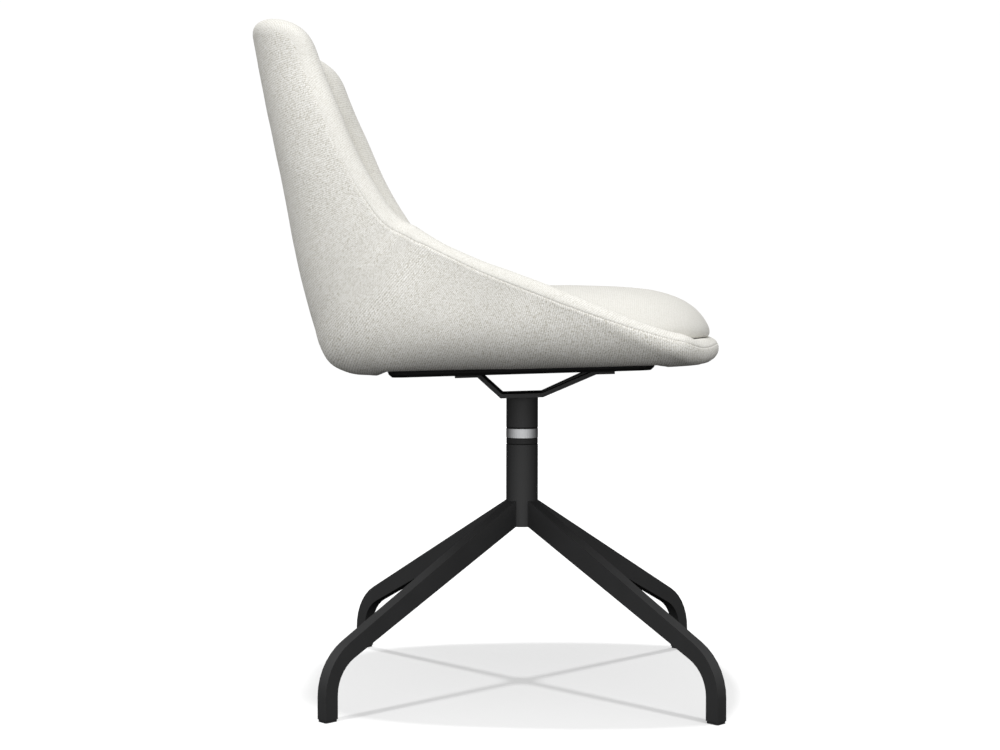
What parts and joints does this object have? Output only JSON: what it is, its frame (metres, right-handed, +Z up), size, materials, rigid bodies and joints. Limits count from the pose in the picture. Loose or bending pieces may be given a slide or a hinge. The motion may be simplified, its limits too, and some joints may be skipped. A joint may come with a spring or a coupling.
{
  "type": "swivel dining chair",
  "caption": "Upholstered bucket chair with a domed seat cushion that swivels on a short column with bent steel legs at 45 degrees.",
  "frame": {"origin": "on the floor, at the bottom centre of the chair's bounding box; the swivel axis stands at X 0, Y -0.0405 m", "axes": "+Z up; the chair faces -Y; +X is the sitter's left"},
  "size_m": [0.4838, 0.541, 0.7754],
  "materials": {
    "black_metal": "satin black powder coat on steel",
    "black_plastic": "matt black moulded plastic",
    "aluminium": "satin turned",
    "steel": "zinc plated",
    "nylon": "natural moulded",
    "board": "black stained board",
    "core": "moulded ply, unfinished",
    "upholstery": "off-white melange weave over foam"
  },
  "bodies": {
    "base": {"column_tube": "black_metal", "column_end_cap": "black_plastic", "lower_bush": "nylon", "flange_bush": "black_plastic", "trim_ring": "aluminium", "thrust_washer": "black_plastic", "leg_front_left": "black_metal", "glide_front_left": "black_plastic", "leg_front_right": "black_metal", "glide_front_right": "black_plastic", "leg_rear_right": "black_metal", "glide_rear_right": "black_plastic", "leg_rear_left": "black_metal", "glide_rear_left": "black_plastic"},
    "seat": {"spindle": "steel", "retaining_washer": "steel", "retaining_screw": "steel", "upper_sleeve": "black_metal", "swivel_bracket": "black_metal", "bracket_bolt_rear_left": "steel", "tee_nut_rear_left": "steel", "bracket_bolt_rear_right": "steel", "tee_nut_rear_right": "steel", "bracket_bolt_front_left": "steel", "tee_nut_front_left": "steel", "bracket_bolt_front_right": "steel", "tee_nut_front_right": "steel", "seat_board": "board", "shell_core": "core", "outer_cover": "upholstery", "inner_cover": "upholstery", "edge_roll": "upholstery", "seat_cushion": "upholstery"}
  },
  "joints": [
    {"name": "seat_swivel", "type": "hinge", "parent": "base", "child": "seat", "pos_m": [0, -0.0405, 0.3049], "axis": [0, 0, 1], "continuous": true}
  ]
}
